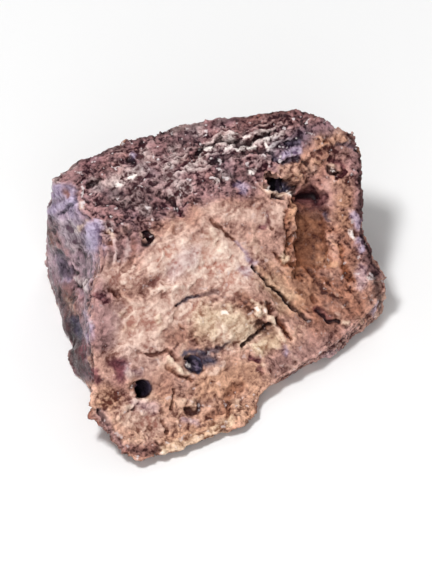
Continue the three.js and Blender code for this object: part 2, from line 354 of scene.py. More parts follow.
# Marks on the faces that look up and to the front, the broad ones first, as (tissue, how strongly it
# shows, rise of the surface in mm, half width, then the places along its middle)
MARKS = (
    ("pink", 0.95, 0.15, 2.6, (3.4, 20), (7.6, 20.8), (9.4, 19)),
    ("pink", 0.7, 0.1, 1.9, (-2, 14), (2.8, 14.8), (4.6, 15.6)),
    ("pink", 0.45, 0, 1.5, (-2.2, 11.6), (1.4, 12)),
    ("pink", 0.5, 0, 1, (7.4, 25.6), (10.8, 25), (14, 24.8)),
    ("brown", 1, -0.9, 1.7, *HALF_PIPE),
    ("brown", 0.7, 0, 2.1, (16.8, 18.8), (19, 17.4), (17.4, 16)),
    ("tan", 0.6, 0, 1.3, (13.4, 18.8), (14.6, 17.4), (15.8, 15.6)),
    ("ochre", 0.35, 0, 1.1, (13.6, 17.8), (14.8, 16.2)),
    ("tan", 0.35, 0, 1.6, (15.6, 19.2), (17.4, 17)),
    ("brown", 0.6, 0, 2.2, (21.6, 26.4), (21.8, 20), (21.2, 16.8)),
    ("crown", 0.85, 0, 1.6, (-3.4, 21.6), (-1.8, 21.4), (0.2, 22.4)),
    ("crown", 0.35, 0, 1, (-3.4, 19.6), (-3.4, 18.6)),
    ("crown", 0.85, 0, 1.6, (-3.8, 16.8), (-3.4, 14.4), (-3.6, 12.2)),
    ("pink", 0.45, 0, 1.3, (-2.4, 18.8), (-0.6, 18.2)),
    ("brown", 0.3, 0, 0.9, (1.8, 23.5), (5, 24.2), (7.2, 26.4), (11.6, 26.4)),
    ("brown", 0.5, 0, 2.2, (17.2, 29.4), (20.6, 30.6)),
    ("crown", 0.55, 0, 1.9, (20.8, 31.6), (21, 29.4), (20.4, 28.2)),
    ("slate", 0.35, 0, 1.3, (17.2, 33.2), (19.2, 33.4)),
    ("brown", 0.2, 0, 1.2, (11, 34.4), (14.4, 34.9), (17.4, 34.8)),
    ("pore", 0.15, 0, 1.2, (11, 34.4), (14.4, 34.9), (17.4, 34.8)),
    ("pore", 0.2, 0, 1.2, (-7.6, 28.4), (-4.4, 29.4)),
    ("pore", 0.35, 0, 1.3, (2.4, 31.6), (5.2, 32.2)),
    ("pore", 0.45, 0, 1.2, (7.8, 28), (10.8, 28.3)),
    ("crown", 0.8, 0, 1, (6.6, 26.9), (9, 27.4), (11.4, 27.3)),
    ("blanch", 0.15, 0, 1.6, (0.8, 28.4), (3.4, 28)),
    ("tan", 0.25, 0.3, 1.7, (16, 29.4), (18.4, 31)),
    ("wine", 0.2, 0, 1.2, (17.2, 31.6), (18.6, 31.8), (18.4, 28.8)),
    ("pink", 0.15, 0.3, 0.9, (15.2, 29.4), (17.4, 28.9), (17.8, 30.3)),
    ("tan", 0.6, 0.2, 0.3, (16.7, 28.9), (16.9, 28.8)),
    ("tan", 0.5, 0.2, 0.35, (18, 30.5), (18.5, 30.2)),
    ("tan", 0.6, 0.3, 0.7, (18.6, 32.3), (20.8, 32.7)),
    ("tan", 0.7, 0, 2, (7.4, 7.6), (11.4, 8.6)),
    ("tan", 0.6, 0, 1.2, (2.4, 0.9), (6.2, 2.6), (11.2, 4.8)),
    ("tan", 0.45, 0, 1.2, (20.6, 28.2), (21.2, 24.6)),
    ("crown", 0.45, 0, 1.7, (14.4, 10), (17.6, 11.2), (21.4, 12.6)),
    ("ochre", 0.75, 0.6, 2, (7.2, 13.7), (10.4, 13.6)),
    ("pink", 0.5, 0.1, 0.6, (8.4, 13.4), (8.6, 12.6)),
    ("ochre", 0.9, 0.25, 0.9, (12.6, 11.5), (13.9, 12.1)),
    ("crown", 0.85, 0, 1, (22.6, 32), (22.8, 28.6), (22.9, 25), (23.3, 21.6), (24.3, 19)),
    ("lavender", 0.22, 0, 1, (3.6, 18.9), (5.6, 20.9)),
    ("brown", 0.5, 0, 1.5, (18.6, 13.6), (22.6, 15.6)),
    ("brown", 0.35, 0, 1.2, (3.6, 12.6), (6.2, 12.4)),
    ("brown", 0.45, 0, 1.3, (10.6, 16), (12.2, 15.2)),
    ("brown", 0.35, 0, 1.5, (-7.2, 17.6), (-6.4, 14.8), (-6.2, 10)),
    # Painted shade: the lower skin side painted darker towards its foot
    ("pore", 0.5, 0, 1.1, (-8.6, 18.6), (-7.4, 14.4)),
    ("pore", 0.85, 0, 1.1, (-7, 13.4), (-6.2, 11), (-5.6, 9)),
    ("pore", 0.7, 0, 0.3, (-9.4, 27.6), (-9.5, 24.6), (-8.8, 21.8)),
    ("brown", 0.4, 0, 0.9, (-8.4, 23.4), (-8.2, 22.2), (-7.4, 21.6)),
    ("brown", 0.35, 0, 0.8, (-6.9, 16.6), (-6.2, 14.8)),
    ("pore", 0.6, 0, 0.28, (-9.2, 28.3), (-6.4, 30), (-3, 31.5), (1, 32.7), (5, 33.9), (8, 34.3)),
    ("pore", 0.5, 0, 0.28, (8, 34.3), (11, 34.9), (13.6, 35.4), (16.2, 35.4), (18.4, 34.9), (19.8, 34.2)),
    ("brown", 0.5, 0, 2.1, *HALF_PIPE),
    # Painted shade over the hollow at the top of the channel
    ("crown", 0.6, 0, 1.6, (17.4, 27.4), (18.8, 26.4)),
    ("rust", 0.35, 0, 1.3, (18, 24.6), (18.2, 20.8)),
    ("tan", 0.3, 0, 1.2, (17.6, 24.4), (18, 20.4)),
    ("pink", 0.3, 0, 1.2, (-0.8, 11), (1.6, 9.4)),
    ("brown", 0.35, 0, 1.1, (2.4, 8.6), (3.2, 6.6)),
    ("crown", 0.25, 0, 1.2, (-1, 10.6), (1, 10.2)),
    ("skin", 0.4, 0, 0.9, (-5.6, 17.4), (-5.2, 13)),
    # The skin side
    ("lavender", 0.45, 0, 1.4, (-7.6, 26), (-6.6, 23)),
    ("pore", 0.45, 0, 0.5, (-9.4, 28.2), (-9.4, 26.2)),
    ("lavender", 0.85, 0.15, 0.5, (-8.3, 27.6), (-8.2, 26.9)),
    ("lavender", 0.9, 0.15, 0.5, (-8.6, 25.4), (-7.6, 25.8), (-6.8, 26.4)),
    ("lavender", 0.6, 0.1, 0.6, (-6.8, 27.2), (-6.6, 25)),
    ("brown", 0.7, -0.2, 0.3, (-7.4, 27.2), (-7.1, 26.8)),
    ("slate", 0.6, -0.25, 0.22, (-7.7, 25), (-7, 25.7), (-6.3, 26.3)),
    ("cream", 0.7, 0.15, 0.25, (-6, 23.3), (-5.2, 24.2)),
    ("cream", 0.6, 0.15, 0.25, (-5.8, 26), (-5.5, 25.7)),
    ("slate", 0.5, -0.2, 0.25, (-7.3, 22), (-6.7, 21.2)),
    ("lavender", 1, 0.2, 0.85, (-4.5, 23.4), (-4.5, 21.8)),
    ("slate", 0.22, 0, 0.7, (-4.5, 23), (-4.5, 22)),
    ("blanch", 0.35, 0, 0.9, (-6.9, 23.4), (-6.3, 22)),
    ("lavender", 0.35, 0.1, 0.3, (-4.3, 21.6), (-4.5, 20.4)),
    ("lavender", 0.3, 0.1, 0.25, (-4.6, 19), (-4.9, 17.4)),
    ("slate", 0.65, -0.2, 0.6, (-8.1, 21), (-7.6, 18.9), (-6.9, 18.9)),
    ("lavender", 0.5, 0.1, 0.3, (-7.9, 18.2), (-6.9, 18.2)),
    ("cream", 0.35, 0.15, 0.25, (-7.2, 16.2), (-6.3, 14.9)),
    ("pore", 0.8, -0.3, 0.28, (-6.7, 19.4), (-6.4, 18.9)),
    ("pore", 0.8, -0.3, 0.26, (-6.1, 17.6), (-5.7, 17.5)),
    ("blanch", 0.55, 0.2, 0.3, (-6.3, 18.3), (-5.3, 18.2), (-5.1, 17.2)),
    ("slate", 0.8, -0.1, 0.6, (-6.6, 14), (-6, 12.6)),
    ("lavender", 0.6, 0.1, 0.4, (-5.3, 14.8), (-4.7, 13.4), (-4.9, 12.2)),
    ("wine", 0.6, -0.2, 0.35, (-5.6, 12.2), (-5.4, 10.4)),
    ("pore", 0.5, -0.1, 0.5, (-6.4, 11.9), (-6.2, 9.6)),
    ("wine", 0.8, -0.1, 0.5, (-4.3, 8.9), (-4.1, 8.1)),
    # The crown
    ("pore", 0.45, -0.2, 1.3, (-2.6, 26.6), (0.8, 26.6), (1.8, 25.4)),
    ("pore", 0.25, 0, 1, (8.6, 29), (12.2, 29.4)),
    ("blanch", 0.35, 0.1, 0.8, (-1.9, 28.4), (0.2, 29.2)),
    # Painted highlights: small pale spots where the crust catches the light
    ("blanch", 0.9, 0.15, 0.3, (-2, 28.1), (-1.7, 28.1)),
    ("blanch", 0.9, 0.15, 0.35, (-0.7, 28.7), (0.1, 29)),
    ("lavender", 0.9, 0.1, 0.3, (-0.5, 30.8), (-0.4, 31.1)),
    ("pore", 0.8, -0.3, 0.28, (-0.9, 30.4), (-0.4, 30.3)),
    ("pore", 0.8, -0.4, 0.3, (-5, 27.9), (-4.2, 28.2), (-3.9, 28.6)),
    ("pore", 0.9, -0.5, 0.26, (5.9, 30.9), (6.6, 31.5), (8.6, 32.4), (10.4, 32.2), (12.2, 32.6),
     (13.8, 33.5)),
    ("pore", 0.9, -0.45, 0.26, (10.2, 31.7), (11.6, 32.2)),
    ("pore", 0.7, -0.35, 0.24, (7.4, 30.2), (9.6, 30.8), (12.6, 31.4), (13.9, 31)),
    # Pale streaks of the crest, partly painted highlight on their crests
    ("blanch", 0.9, 0.12, 0.17, (6, 30.5), (7.2, 31.3), (7.6, 31.9)),
    ("blanch", 0.95, 0.12, 0.17, (7.8, 31.5), (9.6, 31.9), (10.2, 31.4), (11.8, 32.1)),
    ("blanch", 0.95, 0.12, 0.17, (13, 32.5), (13.7, 31.8)),
    ("blanch", 0.7, 0.12, 0.17, (8.2, 32.8), (9.8, 33), (11.2, 33), (13.4, 33.6)),
    # Painted highlights: small pale spots where the crust catches the light
    ("blanch", 0.9, 0.1, 0.25, (11.5, 29.2), (11.7, 29.3)),
    ("blanch", 0.7, 0.1, 0.25, (8, 28.2), (8.2, 28.1)),
    ("slate", 0.5, 0, 1.1, (14.2, 31.6), (16.8, 32.6)),
    ("lavender", 0.75, 0.1, 0.5, (14.7, 30.9), (16.4, 31.5)),
    ("slate", 0.8, -0.25, 0.3, (13.9, 30.6), (15, 30.3), (16.2, 30.6)),
    ("slate", 0.7, -0.2, 0.35, (15.4, 32.2), (16.4, 32.3)),
    ("pore", 0.7, -0.25, 0.28, (3.2, 26.5), (4.5, 25)),
    ("blanch", 0.4, 0.15, 0.25, (3.2, 27.2), (4.5, 25.8)),
    ("lavender", 0.6, 0, 0.5, (10.5, 27.8), (10.8, 27.4)),
    # The torn mouth under the crown, and the hollow beside it
    ("pore", 1, -1.6, 0.6, (13.8, 27.9), (15.2, 28), (16.2, 27.4)),
    ("pore", 0.9, -0.5, 0.28, (13.8, 26.8), (14.9, 26.7)),
    ("cream", 0.8, 0.3, 0.22, (13.2, 27.2), (14.2, 27.2), (15.2, 27.2), (15.7, 26.8)),
    # Painted highlight: a pale spot on the mouth's rim
    ("cream", 0.9, 0.1, 0.22, (13.4, 27.9), (13.5, 28)),
    # Painted shade in the hollow beside the mouth, over its real dip
    ("wine", 0.5, -0.7, 0.8, (17.4, 26.9), (19, 26.5)),
    ("pore", 0.4, 0, 1.1, (18.2, 26.6), (18.8, 25.4)),
    ("tan", 0.4, 0, 0.6, (16.2, 28.8), (16.8, 28.3)),
    ("pore", 0.9, -0.3, 0.4, (17.3, 27.1), (18.2, 26.9)),
    ("rust", 0.6, -0.2, 0.3, (16.4, 26.9), (15.8, 25.9)),
    ("tan", 0.8, 0.35, 0.35, (16, 26.2), (15.9, 24.6), (16, 23.4)),
    ("brown", 0.7, -0.3, 0.3, (15.3, 25.2), (15.4, 23.6), (15.9, 22.2)),
    ("slate", 0.7, -0.1, 0.3, (19.3, 24.7), (19.5, 24.3)),
    ("rust", 0.5, -0.1, 0.3, (18.2, 22.6), (18.6, 22.5)),
    # The tan corner and the right edge
    ("cream", 0.3, 0.15, 0.3, (17.4, 29.2), (17.8, 29.3)),
    ("pore", 0.6, -0.3, 0.25, (17, 30.1), (17.3, 29.8)),
    ("wine", 0.6, -0.3, 0.3, (19.6, 30.6), (20.8, 30.2), (21.1, 29.3), (20.4, 28.6)),
    ("pore", 0.8, -0.3, 0.25, (19.4, 29.6), (19.8, 29.1), (20.3, 29.2)),
    ("brown", 0.8, -0.2, 0.22, (19, 32.4), (19.2, 32.3)),
    ("slate", 0.6, -0.1, 0.3, (20.4, 32.2), (21.6, 32), (22.4, 31.6)),
    # Painted highlight: a pale spot where the corner catches the light
    ("cream", 0.9, 0.15, 0.27, (19.8, 29.9), (19.9, 29.7)),
    ("pore", 0.6, -0.1, 0.5, (21.6, 33.2), (22.6, 31.8), (22.8, 30.4)),
    ("pore", 0.5, -0.1, 0.4, (22.8, 26.6), (23.2, 23.4), (23.2, 21.6)),
    ("pore", 0.85, -0.1, 0.45, (22.9, 32), (23.1, 28.6), (23.2, 25), (23.6, 22), (24.4, 20)),
    # Painted sheen and highlights on the right edge: pale bluish membrane and pale spots
    ("lavender", 0.65, 0.1, 0.5, (22.2, 24.8), (22.5, 23.6)),
    ("lavender", 0.75, 0.1, 0.45, (22.6, 22.4), (22.9, 21.2)),
    ("blanch", 0.8, 0.15, 0.25, (21.8, 23.2), (21.9, 22.6)),
    ("pore", 0.7, -0.2, 0.6, (23.8, 20.4), (24.2, 19)),
    # Painted highlights: pale spots on the right edge
    ("blanch", 0.9, 0.1, 0.22, (23.6, 18.4), (24.3, 18.4)),
    ("pink", 0.15, 0.1, 0.6, (22.6, 19.6), (22.6, 17.8)),
    ("lavender", 0.3, 0, 0.5, (22.9, 19.4), (22.8, 17.6)),
    ("pore", 0.7, -0.1, 0.4, (24.3, 18.9), (24.6, 17.4), (24.9, 15.6)),
    # Painted sheen: a pale bluish spot on the membrane
    ("lavender", 0.9, 0.1, 0.3, (24.1, 14.7), (24.5, 15.8)),
    ("brown", 0.8, -0.2, 0.3, (20.8, 21.6), (21, 19.6), (22, 18.2)),
    ("tan", 0.7, 0.2, 0.35, (18.4, 20), (20.2, 19.8)),
    ("tan", 0.7, 0.2, 0.22, (19.6, 22.4), (20.6, 21.5)),
    # The brown facet and its cracks
    ("brown", 0.8, -0.25, 0.3, (13.9, 20.9), (14.8, 19.9), (16.2, 19.7)),
    ("ochre", 0.5, 0.1, 0.4, (14.8, 20.6), (15.1, 20.3)),
    ("wine", 0.8, -0.15, 0.3, (12.6, 23.7), (12.9, 23.6)),
    ("wine", 0.6, -0.1, 0.25, (13.2, 25.1), (13.4, 24.2)),
    ("rust", 0.8, -0.25, 0.17, (7.4, 24.4), (8.6, 23.3), (9.8, 22.3)),
    ("lavender", 0.5, -0.1, 0.2, (9.9, 22.2), (11.2, 21)),
    ("lavender", 0.85, 0, 0.42, (11.4, 20.3), (11.9, 19.9)),
    ("lavender", 0.4, 0, 0.5, (10.6, 19.3), (11.2, 19)),
    ("pore", 1, -0.5, 0.17, (11.7, 19.5), (12.9, 18.3), (13.8, 17.5), (14.8, 16.4), (15.9, 15.4)),
    ("pore", 0.7, -0.3, 0.2, (15.8, 15.5), (16.6, 14.8), (17.5, 14.1)),
    ("tan", 0.6, 0.15, 0.25, (12.3, 19.4), (13.4, 18.3), (14.2, 17.5)),
    ("rust", 0.6, -0.2, 0.25, (17.8, 16.6), (18.2, 16)),
    ("wine", 0.6, -0.2, 0.35, (18.4, 15.2), (19.6, 14.2)),
    ("pore", 0.9, -0.3, 0.2, (18.6, 15), (19.6, 14), (20.6, 13.9)),
    ("pore", 0.7, -0.2, 0.2, (21.2, 13.5), (21.6, 13.3)),
    ("pink", 0.7, 0.15, 0.25, (20.4, 14.8), (20.7, 14.4)),
    ("cream", 0.7, 0.15, 0.25, (21.1, 14), (21.5, 13.9)),
    ("cream", 0.5, 0.15, 0.2, (22.4, 14.4), (22.8, 14.1)),
    ("brown", 0.7, -0.2, 0.25, (20.9, 19.5), (21.6, 18.3)),
    ("brown", 0.6, -0.15, 0.22, (21.3, 17.6), (22.1, 17)),
    ("brown", 0.6, -0.15, 0.22, (18.8, 18.4), (19.6, 17.8)),
    ("pink", 0.5, 0.1, 0.2, (19.6, 17.6), (20.3, 16.8)),
    ("pink", 0.5, 0.1, 0.2, (20.2, 16.2), (20.9, 15.4)),
    ("brown", 0.6, -0.15, 0.2, (16.2, 17.1), (16.6, 16.8)),
    ("brown", 0.6, -0.15, 0.2, (16.4, 18.7), (16.8, 18.1)),
    # Painted highlight: a pale spot at the right corner
    ("cream", 0.9, 0.1, 0.2, (24.3, 14.6), (24.6, 14.6)),
    # The bulge, the pale fold and the lines around them
    # Painted highlight: a pale spot on top of the bulge
    ("cream", 0.9, 0.1, 0.3, (8.8, 15.1), (9.2, 15.2)),
    ("cream", 0.5, 0.05, 0.6, (9, 13.4), (10.2, 13.5)),
    ("brown", 0.4, -0.3, 0.6, (10.6, 16.6), (11.4, 15.6), (12, 15.2)),
    ("cream", 0.9, 0.2, 0.25, (11.6, 16.2), (12.3, 15.4)),
    ("cream", 0.95, 0.45, 0.34, (12.5, 14.9), (13.6, 14.4), (14.3, 13.2), (14.8, 12.2)),
    # Painted highlight: a pale spot on the fold
    ("cream", 1, 0.2, 0.22, (13, 15.6), (13, 15.3)),
    # Rust lines on the pale fold's lower right side, painted as its shade in a rust colour
    ("rust", 0.9, -0.3, 0.35, (13.4, 15.6), (13.5, 15.1)),
    ("rust", 1, -0.5, 0.24, (14.3, 14.3), (15, 13.2), (15.6, 12.2)),
    ("pore", 0.85, -0.45, 0.22, (10.6, 11.6), (12.2, 12.8), (13.5, 13.8)),
    ("brown", 0.5, -0.25, 0.65, (12.2, 13.6), (13, 13.2), (13.6, 12.6)),
    ("pore", 0.3, 0, 0.65, (12.2, 13.6), (13, 13.2), (13.6, 12.6)),
    ("lavender", 0.7, 0, 0.4, (14.9, 11.4), (15.2, 10.9)),
    ("slate", 0.85, -0.4, 0.2, (4.1, 15.5), (4.5, 16), (5.3, 16.3), (6.3, 16.6)),
    ("slate", 0.35, -0.15, 0.25, (6.4, 16.7), (8.2, 17)),
    ("pink", 0.4, 0, 0.8, (4.6, 17.7), (7.2, 17.9)),
    ("brown", 0.4, -0.15, 0.3, (4, 15.4), (3.8, 14.4)),
    # The pale face
    ("pink", 0.9, 0.3, 0.4, (0.3, 16.2), (2.2, 17.4)),
    ("pink", 0.9, 0.3, 0.35, (2.8, 17.3), (4.1, 17.5), (5.6, 18.2)),
    ("pink", 0.9, 0.25, 0.3, (-1.6, 18), (-0.4, 19.6)),
    ("brown", 0.25, -0.2, 0.7, (-1.8, 17.1), (0.4, 17)),
    ("rust", 0.5, -0.2, 0.35, (-2.4, 17), (-1.8, 16.6)),
    # Painted shade: soft dark lines along the folds of the upper left slope
    ("brown", 0.4, -0.15, 0.3, (-0.4, 22.4), (-0.4, 20.6), (-1.3, 19.2)),
    ("pore", 0.35, -0.15, 0.25, (-3.2, 22.4), (-2.6, 20.9), (-2.9, 19.6)),
    ("pore", 0.35, -0.15, 0.22, (-1.9, 23), (-1.6, 21.4), (-2, 20.2)),
    ("blanch", 0.4, 0.12, 0.18, (-2.3, 22.4), (-2.1, 21), (-2.4, 20)),
    ("blanch", 0.35, 0.1, 0.18, (-1, 22.6), (-0.9, 21.4), (-1.3, 20.2)),
    ("wine", 0.4, -0.2, 0.3, (1.5, 17.8), (2.3, 18.5)),
    ("wine", 0.3, -0.1, 0.3, (3.2, 19), (3.7, 19.3)),
    ("cream", 0.35, 0.15, 0.6, (7.6, 22.6), (8.2, 21.6)),
    ("cream", 0.8, 0.2, 0.22, (1.2, 23.4), (2, 22.6), (1.6, 21.8)),
    # Painted highlight: a pale spot beside the small hole
    ("cream", 0.8, 0.15, 0.2, (0.1, 23.2), (0.3, 22.6)),
    ("pore", 1, -0.3, 0.5, (0.8, 22.9), (1.2, 22.5), (0.9, 22.1)),
    ("pore", 0.5, -0.15, 0.22, (-1.4, 23.4), (-0.8, 23), (-0.9, 22.6)),
    ("brown", 0.5, -0.12, 0.17, (3.8, 23.6), (3.6, 23)),
    ("wine", 0.7, -0.25, 0.22, (4.2, 25.3), (4.4, 24.8)),
    ("brown", 0.7, -0.2, 0.22, (-3.3, 23.1), (-3, 22.9)),
    ("brown", 0.7, -0.2, 0.22, (-2.8, 22.2), (-2.5, 22.1)),
    ("cream", 0.6, 0.1, 0.22, (-2.8, 23.1), (-2.6, 22.6)),
    ("wine", 0.6, -0.3, 0.35, (-4.6, 16.7), (-3.7, 16.5), (-3, 16.1)),
    # Painted highlights: small pale spots on the pale face
    ("cream", 0.7, 0.15, 0.3, (-1.4, 14.7), (-1.1, 14.7)),
    ("cream", 0.75, 0.15, 0.32, (2.1, 14.4), (2.4, 13.4)),
    ("tan", 0.5, 0.1, 0.4, (-1.2, 13.2), (-0.4, 13.5)),
    ("brown", 0.6, -0.15, 0.25, (4.4, 13.7), (4.5, 13.2)),
    ("rust", 0.6, -0.15, 0.22, (5.9, 12.1), (6, 11.9)),
    # The airway mouths and what surrounds them
    ("wine", 0.9, -0.15, 0.85, (-2, 9.7), (-1.6, 8.9)),
    ("wine", 0.35, 0, 0.7, (-2.1, 8.6), (-2, 7.4)),
    ("wine", 0.3, 0, 0.9, (-1.6, 6.8), (-0.9, 6.2)),
    ("lavender", 0.35, 0.05, 0.5, (-1, 8.9), (-0.2, 8.7)),
    ("cream", 0.4, 0.1, 0.5, (-0.9, 8.8), (-0.4, 8.6)),
    ("cream", 0.25, 0.15, 0.35, (-0.4, 6), (0.6, 5.9), (1.5, 6.4)),
    ("lavender", 0.3, 0.05, 0.7, (-0.2, 5.5), (1.6, 5.2)),
    ("pink", 0.5, 0, 1.2, (-0.8, 4.6), (1.8, 3.4)),
    ("rust", 0.6, -0.3, 0.24, (0.3, 10.9), (1.6, 10.5), (3, 10.9), (4.3, 10.1)),
    ("cream", 1, 0.3, 0.4, (3.2, 10), (4.9, 8.7)),
    ("brown", 0.7, -0.25, 0.25, (3, 9.4), (4.2, 8.4), (5.4, 8.1)),
    ("slate", 0.95, -0.3, 0.75, (6.8, 9.9), (7.4, 9.9)),
    ("slate", 0.7, -0.2, 0.25, (7, 10.8), (8, 11), (8.8, 11.8)),
    ("slate", 0.9, 0, 0.25, (4.6, 10.5), (5.2, 10.9), (6.2, 11), (6.9, 10.6)),
    ("pink", 0.6, 0.15, 0.3, (6.7, 8.6), (7.8, 8.8), (8.6, 9.8)),
    # Around the first mouth, a rust arc on its left and a pink arc below, painted as the rim's shade and
    # light
    ("rust", 0.5, 0.05, 0.2, *ring((0.6, 7.43), 1.15, 90, 270)),
    ("pink", 0.5, 0.12, 0.25, *ring((0.6, 7.43), 1.45, 210, 300)),
    # The crumbly low front and its lip
    ("tan", 0.5, 0, 0.9, (-3.4, 6.8), (-2.2, 6.2)),
    ("tan", 0.3, 0, 1.1, (13.6, 11.4), (15.8, 12.4)),
    ("tan", 0.9, 0.1, 0.4, (-3.9, 5.7), (-2.9, 5.5)),
    ("crown", 0.8, -0.1, 0.5, (-3.9, 4.6), (-3, 3.2), (-2, 1.8), (-1.2, 0.6)),
    ("pore", 0.7, -0.2, 0.3, (-3.9, 4.7), (-3.3, 3.8)),
    ("brown", 0.7, -0.1, 0.7, (-1.1, 0.9), (0.6, 0.8), (2, 0.9)),
    ("crown", 0.5, 0, 0.8, (-1.3, 1.1), (0.6, 0.9), (1.8, 1)),
    ("pore", 0.4, -0.1, 0.4, (-0.6, 0.7), (1.8, 0.6)),
    ("cream", 0.8, 0.15, 0.3, (2.5, 0.8), (2.7, 0.7)),
    ("ochre", 0.5, 0, 0.6, (2.8, 0.9), (5, 1.4), (7, 2.4), (9.4, 3.9)),
    ("tan", 0.6, 0.1, 0.3, (3.2, 1.1), (5.4, 1.7), (7.6, 3)),
    ("cream", 0.7, 0.15, 0.22, (3.8, 1), (4.6, 1.2)),
    ("cream", 0.6, 0.15, 0.22, (5.6, 1.8), (6.6, 2.4)),
    # Painted highlight: a small pale spot
    ("cream", 0.6, 0.1, 0.3, (-0.9, 5.4), (-0.7, 5.4)),
    ("pore", 0.5, -0.25, 0.22, (-0.9, 5), (-0.3, 5.1)),
    ("brown", 0.7, -0.2, 0.28, (1.1, 3.1), (1.5, 3)),
    ("rust", 0.7, -0.35, 0.28, (3.7, 7), (3.6, 5.3)),
    ("brown", 0.7, -0.3, 0.28, (2.6, 3.8), (3, 2.8)),
    ("pore", 0.6, -0.35, 0.27, (5, 5), (5.6, 4.8), (6.2, 5.1), (6.4, 5.6)),
    ("lavender", 0.4, 0.2, 0.4, (4.6, 3.9), (5.9, 3.9)),
    ("cream", 0.5, 0.2, 0.4, (4.2, 5.8), (5.6, 5.6)),
    ("brown", 0.6, -0.3, 0.5, (7.6, 4.6), (9, 5.2), (9.6, 6.8), (10.6, 7.3)),
    ("cream", 0.5, 0.25, 0.4, (10, 5.6), (10.4, 4.6)),
    ("rust", 0.7, -0.3, 0.25, (9.3, 5.6), (9.2, 4.4)),
    ("wine", 0.85, -0.35, 0.35, (11.5, 10.3), (12.4, 10.1)),
    ("wine", 0.6, -0.2, 0.22, (12.2, 9.4), (12.8, 8.8)),
    ("cream", 0.6, 0.15, 0.25, (12.6, 9.6), (12.9, 9.5)),
    ("pore", 0.5, -0.2, 0.25, (15.7, 8.5), (17.8, 9.2)),
    ("lavender", 0.3, 0.05, 0.4, (19.2, 10.4), (20.4, 11)),
)

# Airway mouths on those faces as (place, radius)
AIRWAYS = (((0.6, 7.43), 0.98), ((5.7, 9.9), 1.0))

# The hollows whose walls are painted dark as shade: the same mouths and a torn hole
HOLLOWS = (*AIRWAYS, ((1.1, 22.6), 0.8))

# Painted light inside the second and the torn mouth, bluish shade and a pale bluish sheen, as (tissue,
# how strongly it shows, half width, places)
MOUTH_MARKS = (
    ("slate", 1, 0.22, (5.5, 10.6), (6.2, 10.3), (6.45, 9.6), (6.2, 9)),
    ("lavender", 0.7, 0.16, (5.75, 10.25), (6.05, 9.9), (6.1, 9.4)),
    ("slate", 0.9, 0.6, (14, 28), (14.9, 27.9)),
    ("lavender", 0.6, 0.2, (14.2, 28.4), (14.5, 27.7)),
)

# Painted highlights: pale spots painted where wet spots catch the light, as (half width, places)
GLINTS = (
    (0.17, (5.1, 9.85), (5.2, 9.7)),
    (0.2, (13.3, 27.75), (13.4, 27.85)),
    (0.13, (15.2, 27.5), (15.6, 27.1)),
    (0.15, (6.9, 31.8), (7.5, 31.95)),
    (0.15, (9, 31.8), (9.5, 31.85)),
    (0.14, (11.4, 31.8), (12, 32)),
    (0.13, (10.8, 33), (11.4, 33.1)),
    (0.13, (13, 32.4), (13.3, 31.8)),
    (0.12, (-1, 28.8), (-0.2, 29.1)),
    (0.14, (-2.1, 28.1), (-1.7, 28.1)),
    (0.13, (11.55, 29.4), (11.75, 29.3)),
    (0.13, (19.8, 29.75), (19.9, 29.6)),
    (0.12, (21.9, 23.4), (22, 22.8)),
    (0.13, (24.35, 14.6), (24.6, 14.5)),
    (0.14, (8.7, 15.1), (9.1, 15.1)),
    (0.12, (12.1, 15.6), (12.3, 15.4)),
    (0.12, (12.95, 15.35), (13.05, 15.2)),
    (0.13, (2.35, 0.8), (2.55, 0.8)),
)


def round_mouths(tissue):
    """Rounds off the torn mouths of the solid."""
    share = around(tissue.places(), TORN_MOUTHS, 0.5, 1.0) * smooth_step(5.0, 6.0, tissue.points[:, 2])
    tissue.points += share[:, None] * (tissue.blurred(tissue.points, 80) - tissue.points)


def mark_regions(tissue):
    """How much of each kind of face shows at each point, from 0 to 1."""
    points, normals, fields = tissue.points, tissue.normals(), tissue.fields
    places = tissue.places()
    broad = fractal(points, 5.0, seed=11)
    ragged = fractal(points, 1.3, seed=23, octaves=4)
    across, up = (places + 0.3 * tissue.wander(1.0, seed=5)).T
    top = smooth_step(0.3, 0.6, normals[:, 2])
    under = smooth_step(0.4, 0.8, -normals[:, 2])
    seen = smooth_step(-0.1, 0.08, normals @ SIGHT) * (1 - under)
    brow_across, brow_up = np.array(BROW_LINE).T
    over_brow = up - np.interp(across, brow_across, brow_up) + 0.9 * ragged + 0.4 * broad
    crown = smooth_step(-0.9, 0.9, over_brow) * top
    edge_across, edge_up = np.array(SKIN_EDGE[::-1]).T
    inside_edge = across - np.interp(up, edge_up, edge_across) + 0.25 * ragged
    left_wall = smooth_step(0.25, 0.6, -normals[:, 0]) * (1 - under) * smooth_step(5.5, 8.5, up)
    left_wall *= 1 - smooth_step(0.2, 0.7, tissue.blurred(normals[:, 1], 100))
    skin = (1 - smooth_step(-0.3, 0.3, inside_edge)) * seen * smooth_step(7.5, 8.5, up)
    skin = np.maximum(skin, left_wall * (1 - seen))
    hidden = (1 - seen) * (1 - skin)
    patchy = fractal(points, 7.0, seed=31) + 0.4 * ragged
    hidden_crown = smooth_step(-0.15, 0.35, broad + 0.4 * ragged) * hidden
    fields["crown"] = np.maximum(crown * (1 - skin), hidden_crown)
    fields["brown"] = smooth_step(-0.2, 0.4, patchy) * hidden
    fields["skin"] = skin
    fields["seen"] = seen
    fields["hidden"] = hidden * (1 - under)
    fields["top"] = top
    fields["low"] = (1 - smooth_step(5.5, 8.5, up + 0.8 * broad)) * seen
    fields["under"] = under
    fields["top_part"] = smooth_step(0.8, 1.6, points[:, 2])
    fields["ragged"] = ragged
    fields["mouths"] = around(places, AIRWAYS, 1.0, 1.7) * seen
    tissue.flat = places


def mark_share(tissue, line, width, ragged=0.5):
    """How strongly a mark shows at each point, fading over a ragged rim."""
    away = distance_to_line(tissue.flat, line) / width * (1 + ragged * tissue.fields["ragged"])
    return (1 - smooth_step(0.3, 1.45, away)) * tissue.fields["seen"]


# Tissues that lie in broken flakes rather than in whole bands
BROKEN_TISSUES = ("pink", "tan", "cream", "blanch", "lavender")


